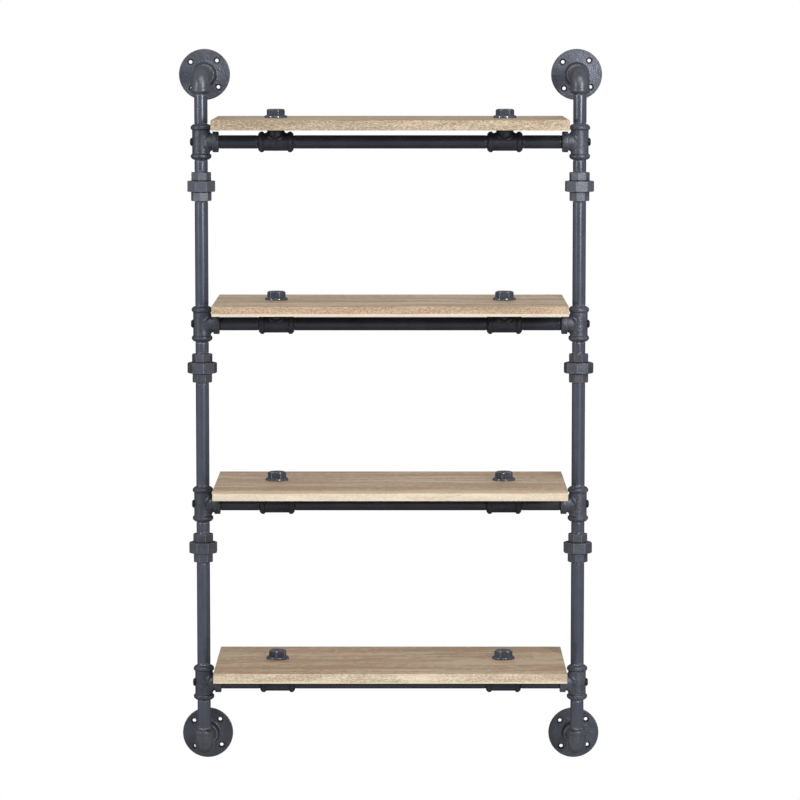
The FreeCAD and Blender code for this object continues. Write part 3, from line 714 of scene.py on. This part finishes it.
def teeShape(screwed):
    # run along Z with a bead at each end and the branch towards +X, bored out; a screwed tee
    # has a hole in the wall behind the branch
    form = teeForm
    turns = evenTurns(form["turns"])
    reach = form["reach"]
    steps = endSteps(form)
    waist = np.linspace(-form["waist"], form["waist"], form["waistRows"])
    height = np.concatenate([steps - reach, waist, (reach - steps)[::-1]])
    outside = form["body"] + beadRise(reach - np.abs(height), form)
    rings = [(0, -reach), *zip(outside, height), (0, reach)]
    run = turnedRows([ringRows(rings, turns)], turns)
    lie = np.array([[0, 0, 1], [1, 0, 0], [0, 1, 0]])    # Z becomes X, and X becomes Y
    casting = combined(run, moved(branchShape(), turn=lie), "UNION")
    socket, waterway, inner = form["socket"], form["waterway"], reach - form["grip"]
    past = reach + form["overcut"]
    bore = turned([0, socket, socket, waterway, waterway, socket, socket, 0],
                  [-past, -past, -inner, -inner, inner, inner, past, past], turns)
    sideBore = turned([0, waterway, waterway, socket, socket, 0],
                      [0, 0, inner, inner, past, past], turns)
    cutters = [bore, moved(sideBore, turn=lie)]
    if screwed:
        hole = turned([0, form["screwHole"], form["screwHole"], 0],
                      [-form["screwReach"], -form["screwReach"], 0, 0],
                      evenTurns(form["screwTurns"]))
        cutters.append(moved(hole, turn=lie))
    for cutter in cutters:
        casting = combined(casting, cutter, "DIFFERENCE")
    return {**casting, "wearAndPaintedLight": teeRubAndHighlight(*casting["points"].T)}


def teeRubAndHighlight(x, y, z):
    # rubbed along the ridge of each bead, there partly a painted highlight, and along the two
    # edges of the collar
    form, rub = teeForm, teeRub
    onRun = beadRubAndHighlight(form["reach"] - np.abs(z), form)
    onRun = onRun * smoothStep(np.hypot(x, y), *rub["beadOut"])
    around = smoothStep(np.hypot(y, z), *rub["collarOut"]) * smoothStep(x, *rub["collarFrom"])
    fromEnd = form["reach"] - x
    outer = near(fromEnd, rub["inset"], rub["outerReach"])
    inner = near(fromEnd, form["collarLength"] - rub["inset"], rub["innerReach"])
    return np.clip(onRun + (outer + inner) * around, 0, 1)


def elbowShape():
    # a ring carried along a straight, a quarter circle and a straight, outside and then back
    # through the bore: one end towards +Y, the other towards -Z
    form = elbowForm
    turns = evenTurns(form["turns"])
    reach, bend = form["reach"], form["bend"]
    steps = endSteps(form)
    quarter = np.linspace(0, math.pi / 2, form["bendRows"])
    straight = steps[steps < reach - bend - form["bendGap"]]
    y = np.concatenate([reach - straight, bend - bend * np.sin(quarter), 0 * straight])
    z = np.concatenate([0 * straight, bend * np.cos(quarter) - bend, straight[::-1] - reach])
    lean = np.concatenate([0 * straight, quarter, 0 * straight + math.pi / 2])
    fromEnd = np.concatenate([straight, 0 * quarter + reach, straight[::-1]])
    outside = form["body"] + beadRise(fromEnd, form)
    inner = np.where(fromEnd < form["grip"], form["socket"], form["waterway"])
    y, z, lean = (np.concatenate([part, part[::-1]]) for part in (y, z, lean))
    radius = np.concatenate([outside, inner[::-1]])[:, None]
    # rubbed bright on the bead's ridge, partly a painted highlight
    wearAndPaintedLight = np.concatenate([beadRubAndHighlight(fromEnd, form), 0 * fromEnd])[:, None] + 0 * turns
    # across the path, in the plane of the bend: downwards at the start, towards +Y at the end
    acrossY, acrossZ = np.sin(lean)[:, None], -np.cos(lean)[:, None]
    points = np.stack([radius * np.sin(turns),
                       y[:, None] + radius * np.cos(turns) * acrossY,
                       z[:, None] + radius * np.cos(turns) * acrossZ], -1)
    return makeShape(points, gridFaces(len(y), len(turns), True), wearAndPaintedLight=wearAndPaintedLight)


sideTee = teeShape(True)
crossbarTee = teeShape(False)
wallElbow = elbowShape()

for side, facing in zip(sides, (0, 180)):
    for level in levels:
        node = f"side_tee_{side}_{level}"
        shape = moved(sideTee, (columnX[side], standOff, barZ[level]), turnAbout(zAxis, facing))
        makePiece(node + "_casting", shape, paintedLightTeeIron[side], node)
for level in levels:
    node = f"crossbar_tees_{level}"
    shape = together([moved(crossbarTee, (plugX[side], standOff, barZ[level]),
                            turnAbout(yAxis, -90)) for side in sides])
    makePiece(node + "_castings", shape, paintedShadeCrossbarIron, node)
for end, overturn in zip(ends, (0, 180)):
    for side in sides:
        node = f"wall_elbow_{end}_{side}"
        shape = moved(wallElbow, (columnX[side], standOff, cornerZ[end]),
                      turnAbout(yAxis, overturn))
        makePiece(node + "_casting", shape, elbowIron, node)
print("tees and elbows made")


flangeForm = {
    "radius": 41.25, "backRound": 0.4, "rim": 4.8, "edgeRound": 1.3, "faceFrom": 1.0,
    "faceRise": 1.4, "hubFoot": 19.0, "hubTop": 16.5, "hubRound": 1.2, "height": 18.5,
    "socket": 10.7, "turn": 48, "turns": 128, "screws": 4, "screwCircle": 30.15, "screwHole": 2.9,
    "screwSink": 5.1, "sinkTop": 1.0, "sinkPast": 0.6, "holeUnder": 1.0, "holeOver": 2.0,
    "arcRows": 7, "faceRows": 7, "holeTurns": 36, "rub": 0.9, "rimRub": (2.0, 4.0),
    "lipRub": (15.0, 17.0), "lipInset": 0.6, "paintedShadePast": 0.15, "paintedShadeFade": 0.1,
}


def flangeShape():
    # back on the XY plane, hub along +Z: rounded rim, a face that rises slightly to the hub's
    # fillet, a tapered hub with a rounded lip; countersunk holes round a circle
    form = flangeForm
    arc = np.linspace(0, math.pi / 2, form["arcRows"])
    edge, lip = form["edgeRound"], form["hubRound"]
    fillet = 2 * lip
    outer = form["radius"] - edge + edge * np.cos(arc)
    outerHigh = form["rim"] - edge + edge * np.sin(arc)
    face = np.linspace(form["radius"] - edge - form["faceFrom"], form["hubFoot"] + fillet,
                       form["faceRows"])
    rise = (form["radius"] - face) / (form["radius"] - form["hubFoot"])
    faceHigh = form["rim"] + form["faceRise"] * rise ** 2
    filletOut = form["hubFoot"] + fillet - fillet * np.sin(arc)
    filletHigh = faceHigh[-1] + fillet - fillet * np.cos(arc)
    lipOut = form["hubTop"] - lip + lip * np.cos(arc)
    lipHigh = form["height"] - lip + lip * np.sin(arc)
    back = form["backRound"]
    radius = np.concatenate([[form["radius"] - back, form["radius"]], outer, face, filletOut,
                             lipOut, [form["socket"], form["socket"]]])
    height = np.concatenate([[0, back], outerHigh, faceHigh, filletHigh, lipHigh,
                             [form["height"], 0]])
    disc = turned(radius, height, evenTurns(form["turns"]))
    small, sink, circle = form["screwHole"], form["screwSink"], form["screwCircle"]
    wide = sink + form["sinkPast"]
    top = form["rim"] + form["sinkTop"]
    bottom = top - (wide - small)
    under, over = -form["holeUnder"], form["height"] + form["holeOver"]
    hole = turned([0, small, small, wide, wide, 0], [under, under, bottom, top, over, over],
                  evenTurns(form["holeTurns"]))
    between = 2 * math.pi / form["screws"]
    for number in range(form["screws"]):
        place = number * between
        drilled = moved(hole, (circle * math.cos(place), circle * math.sin(place), 0))
        disc = combined(disc, drilled, "DIFFERENCE")
    x, y, z = disc["points"].T
    out = np.hypot(x, y)
    wearAndPaintedLight = near(out, form["radius"], form["rub"]) * smoothStep(z, *form["rimRub"])
    onLip = near(out, form["hubTop"] - form["lipInset"], form["rub"])
    wearAndPaintedLight = wearAndPaintedLight + onLip * smoothStep(z, *form["lipRub"])
    # painted shade in the countersinks, which lie round the screw circle
    place = np.round(np.arctan2(y, x) / between) * between
    fromHole = np.hypot(x - circle * np.cos(place), y - circle * np.sin(place))
    paintedShadeInSinks = smoothStep(sink + form["paintedShadePast"] - fromHole, 0, form["paintedShadeFade"])
    return {**disc, "wearAndPaintedLight": np.clip(wearAndPaintedLight, 0, 1) - paintedShadeInSinks}


flange = flangeShape()
for end in ends:
    for side in sides:
        node = f"wall_flange_{end}_{side}"
        shape = moved(flange, (columnX[side], 0, cornerZ[end]),
                      turnAbout(xAxis, 90) @ turnAbout(zAxis, flangeForm["turn"]))
        makePiece(node + "_casting", shape, flangeIron[end][side], node)
print("flanges made")


# pieces with flats: prisms whose corners are rounded, with round rows below and above them

cornerRows = np.array([0.4, 0.75])    # shares of the way round a corner
flatRows = np.array([0.3, 0.65, 0.93])    # shares of the way from a flat's middle to its end


def offMiddle(turns, sideCount):
    # how far a turn is from the middle of its flat; the first flat faces -Y
    half = math.pi / sideCount
    return np.abs((turns + math.pi / 2 + half) % (2 * half) - half)


def flatEnd(sideCount, flat, rounding):
    # the turn from a flat's middle at which its rounded corner starts
    return math.atan((flat - rounding) * math.tan(math.pi / sideCount) / flat)


def flatTurns(sideCount, flat, rounding):
    # turns at which a prism with rounded corners needs points, from a flat that faces -Y
    half, end = math.pi / sideCount, flatEnd(sideCount, flat, rounding)
    ahead = np.concatenate([end * flatRows, [end], end + (half - end) * cornerRows])
    one = np.concatenate([[-half], -ahead[::-1], [0], ahead])
    middles = -math.pi / 2 + 2 * half * np.arange(sideCount)
    return (middles[:, None] + one).ravel()


def flatRadius(turns, sideCount, flat, rounding):
    # distance from the axis to a prism's side: flat / cos near a flat's middle, and the far
    # side of a small circle about the corner of the inset prism near a corner
    half = math.pi / sideCount
    off = offMiddle(turns, sideCount)
    cornerOut = (flat - rounding) / math.cos(half)
    beta = half - off
    onArc = cornerOut * np.cos(beta) + np.sqrt(
        np.maximum(rounding ** 2 - (cornerOut * np.sin(beta)) ** 2, 0))
    return np.where(off <= flatEnd(sideCount, flat, rounding), flat / np.cos(off), onArc)


def cornerWear(turns, sideCount, reach):
    # 1 at the corners, fading over a small turn
    return near(offMiddle(turns, sideCount), math.pi / sideCount, reach)


unionForm = {
    "sides": 8, "endFlat": 15.2, "nutFlat": 22.0, "cornerRound": 1.0, "headLength": 13.9,
    "nutLength": 17.0, "tailLength": 14.8, "gap": 0.4, "edge": 1.6, "edgeStart": 0.2,
    "edgeSlope": 2.0, "seam": 1.0, "socket": 10.7, "grip": 13.0, "mouth": 1.2, "mouthDeep": 0.8,
    "bore": 7.9, "neck": 13.5, "neckGap": 0.15, "spigot": 18.0, "spigotGap": 0.05, "collar": 16.5,
    "lip": 3.5, "collarLength": 4.0, "rimRub": 0.8, "cornerRub": 0.035, "middleGap": 2.4,
    "middleRows": 5, "endRows": (0, 0.225, 0.45, 0.675, 0.9, 1.17, 1.44),
}
# by how many degrees head, nut and tail are turned, at each joint from the top
unionTurns = {"left": ((9, 2, 19), (-15, -14, -2), (-6, 0, 4)),
              "right": ((13, 7, 5), (-5, 14, 0), (-4, 4, 8))}
unionDrop = barZ[1] - nodeBox("union_nuts")[1][2] + unionForm["nutLength"] / 2


def prismRows(low, high, prism, turns, softLow, softHigh):
    # rows of a prism's side between two heights; at a softened end a cone turns its corners
    # off, so the radius there is the lesser of the prism's and the cone's
    form = unionForm
    sideCount, flat, rounding = prism
    fine = np.array(form["endRows"])
    middle = np.linspace(low + form["middleGap"], high - form["middleGap"], form["middleRows"])
    height = np.concatenate([low + fine, middle, (high - fine)[::-1]])
    fromEnd = np.full(len(height), np.inf)
    if softLow:
        fromEnd = np.minimum(fromEnd, height - low)
    if softHigh:
        fromEnd = np.minimum(fromEnd, high - height)
    cone = flat - form["edgeStart"] * form["edge"] + form["edgeSlope"] * fromEnd
    radius = np.minimum(flatRadius(turns, *prism), cone[:, None])
    rims = near(height, low, form["rimRub"]) + near(height, high, form["rimRub"])
    corners = cornerWear(turns, sideCount, form["cornerRub"])
    wearAndPaintedLight = np.clip(corners + rims[:, None], 0, 1)
    # painted shade where an end meets the next part: its seam band goes dark
    if not softLow:
        wearAndPaintedLight[height < low + form["seam"]] = -1
    if not softHigh:
        wearAndPaintedLight[height > high - form["seam"]] = -1
    return radius, height, wearAndPaintedLight


def ringedPrism(low, high, prism, soft, before, after):
    # a prism between two heights, with round rows before and after its own, which carry painted
    # shade
    turns = flatTurns(*prism)
    rows = prismRows(low, high, prism, turns, *soft)
    return turnedRows([ringRows(before, turns, -1), rows, ringRows(after, turns, -1)], turns)


def unionShapes():
    # head, nut and tail on one axis, the nut's middle at its origin: each a prism with the rings
    # of its bore, its seat and its ends
    form = unionForm
    bore, socket, neck, spigot, collar, gap, grip = (
        form[name] for name in ("bore", "socket", "neck", "spigot", "collar", "gap", "grip"))
    half = form["nutLength"] / 2
    top, bottom = half + form["headLength"], -half - form["tailLength"]
    collarFoot = form["lip"] - half
    collarTop = collarFoot + form["collarLength"]
    mouth, mouthDeep = socket + form["mouth"], form["mouthDeep"]
    neckHole, spigotHole = neck + form["neckGap"], spigot + form["spigotGap"]
    endPrism = (form["sides"], form["endFlat"], form["cornerRound"])
    nutPrism = (form["sides"], form["nutFlat"], form["cornerRound"])
    head = ringedPrism(
        half + gap, top, endPrism, (False, True),
        [(bore, collarTop), (spigot, collarTop), (spigot, half), (neck, half), (neck, half + gap)],
        [(mouth, top), (socket, top - mouthDeep), (socket, top - grip), (bore, top - grip)])
    tail = ringedPrism(
        bottom, -half - gap, endPrism, (True, False), [(mouth, bottom)],
        [(neck, -half - gap), (neck, collarFoot), (collar, collarFoot), (collar, collarTop),
         (bore, collarTop), (bore, bottom + grip), (socket, bottom + grip),
         (socket, bottom + mouthDeep)])
    nut = ringedPrism(
        -half, half, nutPrism, (True, True), [(neckHole, -half)],
        [(spigotHole, half), (spigotHole, collarFoot), (neckHole, collarFoot)])
    return head, nut, tail


unionNodes = ("union_heads", "union_nuts", "union_tails")
for third, (node, part) in enumerate(zip(unionNodes, unionShapes())):
    copies = [moved(part, (columnX[side], standOff, barZ[joint] - unionDrop),
                    turnAbout(zAxis, unionTurns[side][joint - 1][third]))
              for side in sides for joint in joints]
    makePiece(node + "_castings", together(copies), unionIron, node)


plugForm = {
    "sides": 6, "shank": 10.5, "shankEnd": -21.3, "flange": 18.2, "rimLow": 0.4, "rimHigh": 2.5,
    "rimIn": 0.5, "rimMiddle": 0.9, "rimBulge": 12.0, "flangeHigh": 4.2, "footOut": 1.0,
    "flat": 13.0, "headHigh": 9.8, "cornerRound": 0.9, "edgeStart": 0.9, "edgeSlope": 1.6,
    "edgeCurve": 0.8, "sideFrom": 0.5, "sideTo": 2.2, "dimple": 3.2, "dimpleDeep": 1.3,
    "dimpleEdge": (0.8, 0.3), "dimpleFloor": 0.6,
    "edgeRows": (1.9, 1.6, 1.3, 1.0, 0.7, 0.4, 0.2, 0), "arcRows": 9, "rimRows": 7, "sideRows": 5,
    "cornerRub": 0.04, "topRub": 0.8, "topRubAt": (0.6, 0.6), "rimRub": 0.7,
    "rimRubAt": (1.2, 0.8),
}
plugTurns = {"left": (-13, -8, -5, 22), "right": (1, -2, 16, 7)}    # degrees, from level 1


def plugShape():
    # shank, a round flange with a slightly barrelled rim that curves up to the head, and a
    # hexagon whose corners are turned off at the top, with a shallow dimple in its middle
    form = plugForm
    prism = (form["sides"], form["flat"], form["cornerRound"])
    turns = flatTurns(*prism)
    arc = np.linspace(0, math.pi / 2, form["arcRows"])[1:]
    low, high = form["flangeHigh"], form["flangeHigh"] + form["headHigh"]
    foot = form["flat"] + form["footOut"]
    rimUp = np.linspace(form["rimLow"], form["rimHigh"], form["rimRows"])
    rimOut = form["flange"] - (rimUp - form["rimMiddle"]) ** 2 / (2 * form["rimBulge"])
    flangeOut = foot + (rimOut[-1] - foot) * np.cos(arc)
    flangeUp = form["rimHigh"] + (low - form["rimHigh"]) * np.sin(arc)
    before = [(0, form["shankEnd"]), (form["shank"], form["shankEnd"]), (form["shank"], 0),
              (form["flange"] - form["rimIn"], 0), *zip(rimOut, rimUp), *zip(flangeOut, flangeUp)]
    side = np.linspace(low + form["sideFrom"], high - form["sideTo"], form["sideRows"])
    height = np.concatenate([[low], side, high - np.array(form["edgeRows"])])
    rounded = form["edgeSlope"] * (high - height) ** form["edgeCurve"]
    cone = form["flat"] - form["edgeStart"] + rounded
    head = np.minimum(flatRadius(turns, *prism), cone[:, None])
    edgeOut, edgeDown = form["dimpleEdge"]
    floor = high - form["dimpleDeep"]
    after = [(form["dimple"] + edgeOut, high), (form["dimple"], high - edgeDown),
             (form["dimple"] * form["dimpleFloor"], floor), (0, floor)]
    # rim, top edge and corners rubbed bright, partly a painted highlight
    topDown, topReach = form["topRubAt"]
    rimRub = form["rimRub"] * near(np.array(before)[:, 1:], *form["rimRubAt"])
    headRubAndHighlight = form["topRub"] * near(height, high - topDown, topReach)[:, None]
    headRubAndHighlight = headRubAndHighlight + cornerWear(turns, form["sides"], form["cornerRub"])
    return turnedRows([ringRows(before, turns, rimRub), (head, height, np.clip(headRubAndHighlight, 0, 1)),
                       ringRows(after, turns)], turns)


screwForm = {
    "head": 6.5, "headHigh": 3.3, "rimHigh": 0.6, "edge": (0.2, 0.3), "domeRows": 8,
    "domeShare": 0.80, "thread": 3.0, "length": 38.9, "keySides": 6, "key": 2.0, "keyRound": 0.1,
    "keyDeep": 2.0,
}


def screwShape():
    # a domed head on a plain shank, with a hexagon key recess in the dome
    form = screwForm
    prism = (form["keySides"], form["key"], form["keyRound"])
    turns = flatTurns(*prism)
    arc = np.linspace(0, 1, form["domeRows"])
    dome = form["head"] * np.sqrt(1 - (form["domeShare"] * arc) ** 2)
    domeHigh = form["rimHigh"] + (form["headHigh"] - form["rimHigh"]) * arc
    edgeIn, edgeUp = form["edge"]
    before = [(0, -form["length"]), (form["thread"], -form["length"]), (form["thread"], 0),
              (form["head"] - edgeIn, 0), (form["head"], edgeUp), *zip(dome, domeHigh)]
    key = flatRadius(turns, *prism) * np.array([[1], [1], [0]])
    bottom = form["headHigh"] - form["keyDeep"]
    recess = (key, [form["headHigh"], bottom, bottom], 0 * key)
    return turnedRows([ringRows(before, turns), recess], turns)


plug, screw = plugShape(), screwShape()
plugs, screws = [], []
for level in levels:
    boardTop = nodeBox(f"shelf_board_{level}")[1][2]
    for side, sign in zip(sides, (-1, 1)):
        plugs.append(moved(plug, (plugX[side], standOff, boardTop),
                           turnAbout(zAxis, plugTurns[side][level - 1])))
        screws.append(moved(screw, (columnX[side] + sign * castForm["body"], standOff,
                                    barZ[level]), turnAbout(yAxis, 90 * sign)))
makePiece("shelf_plugs_turned", together(plugs), plugSteel, "shelf_plugs")
makePiece("tee_screws_turned", together(screws), fasteningSteel, "tee_screws")
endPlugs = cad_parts["crossbar_end_plugs"].data
endPlugs.materials.clear()
endPlugs.materials.append(fasteningSteel)
print("unions, plugs and screws made")


boardForm = {
    "edge": 0.9, "edgeRows": (0, 0.25, 0.5, 0.75, 1.0), "rows": (24, 12, 4), "hole": 11.0,
    "recess": 17.2, "recessDeep": 5.6, "holeTurns": 64, "overcut": 1.0,
}


def roundedBox(low, high, edge):
    # each face is a grid of points on the inset box; a point moves out from the nearest point
    # of that box by the edge's radius, so edges and corners come out round
    fine = np.array(boardForm["edgeRows"]) * edge
    size = high - low
    lines = [np.concatenate([fine, np.linspace(edge, length - edge, count)[1:-1],
                             length - fine[::-1]])
             for length, count in zip(size, boardForm["rows"])]
    shapes = []
    for axis in (xAxis, yAxis, zAxis):
        a, b = (axis + 1) % 3, (axis + 2) % 3
        across, along = np.meshgrid(lines[a], lines[b], indexing="ij")
        for end in (0, 1):
            points = np.zeros(across.shape + (3,))
            points[..., a], points[..., b] = across, along
            points[..., axis] = size[axis] * end
            inner = np.clip(points, edge, size - edge)
            out = points - inner
            out *= edge / np.linalg.norm(out, axis=-1, keepdims=True)
            rows, columns = across.shape
            cell = (np.arange(rows - 1)[:, None] * columns + np.arange(columns - 1)).ravel()
            quads = np.stack([cell, cell + columns, cell + columns + 1, cell + 1], -1)
            quads = quads if end else quads[:, ::-1]
            shapes.append(makeShape(low + inner + out, quads.ravel()))
    return together(shapes)


def boardShape(node):
    # a slab with rounded edges, less a hole for each plug and a recess under it for the tee
    form = boardForm
    low, high = nodeBox(node)
    slab = roundedBox(low, high, form["edge"])
    bottom, top = low[2] - form["overcut"], high[2] + form["overcut"]
    ledge = low[2] + form["recessDeep"]
    cutter = turned([0, form["recess"], form["recess"], form["hole"], form["hole"], 0],
                    [bottom, bottom, ledge, ledge, top, top], evenTurns(form["holeTurns"]))
    for side in sides:
        slab = combined(slab, moved(cutter, (plugX[side], standOff, 0)), "DIFFERENCE")
    return slab


for level in levels:
    node = f"shelf_board_{level}"
    makePiece(node + "_oak", boardShape(node), oakFinish(level), node)
print("boards made")


# studio: white all round for the camera and for reflections, soft lamps in front

studio = {
    "ambient": 0.30, "floorHigh": -1.35, "floorSize": 14.0, "floorRough": 0.9,
    "floorColour": (0.8, 0.8, 0.8, 1), "white": (1, 1, 1, 1), "aimHigh": 0.1,
}
# places and sizes in metres, power in watts
lamps = {
    "rightBox": {"place": (1.9, -4.1, 0.95), "size": (0.3, 0.85), "power": 132},
    "leftBox": {"place": (-3.3, -2.6, 0.95), "size": (0.35, 0.85), "power": 54},
    "frontBox": {"place": (0.3, -3.1, 2.7), "size": (2.2, 1.4), "power": 84},
}


def seenBackground(tree):
    # 1 for rays that should meet the white background, and 0 for those that light the object
    path = tree.nodes.new("ShaderNodeLightPath")
    straight, glossy, through = (Wire(tree, path.outputs[name]) for name in
                                 ("Is Camera Ray", "Is Glossy Ray", "Is Transmission Ray"))
    return (straight + glossy + through).eased(0, 1)


world = bpy.data.worlds.new("studio")
bpy.context.scene.world = world
world.use_nodes = True
background = world.node_tree.nodes["Background"]
ambient = studio["ambient"]
feed(background, "Strength", ambient + (1 - ambient) * seenBackground(world.node_tree))
feed(background, "Color", studio["white"])

half = studio["floorSize"] / 2
floorCorners = ((-half, -half), (half, -half), (half, half), (-half, half))
floorMesh = bpy.data.meshes.new("floor")
floorMesh.from_pydata([(x, y, studio["floorHigh"]) for x, y in floorCorners], [], [(0, 1, 2, 3)])
floorFinish, floorShader, where = newFinish("floorPaper")
tree = where.tree
feed(floorShader, "Base Color", studio["floorColour"])
feed(floorShader, "Roughness", studio["floorRough"])
glow = tree.nodes.new("ShaderNodeEmission")
choose = tree.nodes.new("ShaderNodeMixShader")
feed(choose, "Fac", seenBackground(tree))
tree.links.new(floorShader.outputs[0], choose.inputs[1])
tree.links.new(glow.outputs[0], choose.inputs[2])
tree.links.new(choose.outputs[0], tree.nodes["Material Output"].inputs["Surface"])
floorMesh.materials.append(floorFinish)
addObject("floor", floorMesh)

aim = np.array([0, standOff * mm, studio["aimHigh"]])
for name, lamp in lamps.items():
    light = bpy.data.lights.new(name, "AREA")
    light.shape = "RECTANGLE"
    light.size, light.size_y = lamp["size"]
    light.energy = lamp["power"]
    item = addObject(name, light)
    item.location = lamp["place"]
    ahead = aim - np.array(lamp["place"])
    item.rotation_euler = (math.atan2(math.hypot(ahead[0], ahead[1]), -ahead[2]), 0,
                           math.atan2(ahead[1], ahead[0]) - math.pi / 2)

# the camera stands square to the wall, above the unit's middle and a little to its right, and
# looks down on it; place in metres, down in degrees, lens and sensor in millimetres
cameraView = {
    "place": (0.0153, -6.0, 0.6352), "down": 5.947, "lens": 166.2, "sensor": 36.0, "far": 60.0,
}
camera = bpy.data.cameras.new("camera")
camera.lens = cameraView["lens"]
camera.sensor_width = cameraView["sensor"]
camera.clip_end = cameraView["far"]
cameraItem = addObject("camera", camera)
cameraItem.location = cameraView["place"]
cameraItem.rotation_euler = (math.radians(90 - cameraView["down"]), 0, 0)
bpy.context.scene.camera = cameraItem
bpy.context.scene.view_settings.view_transform = "Standard"
print("studio and camera made")
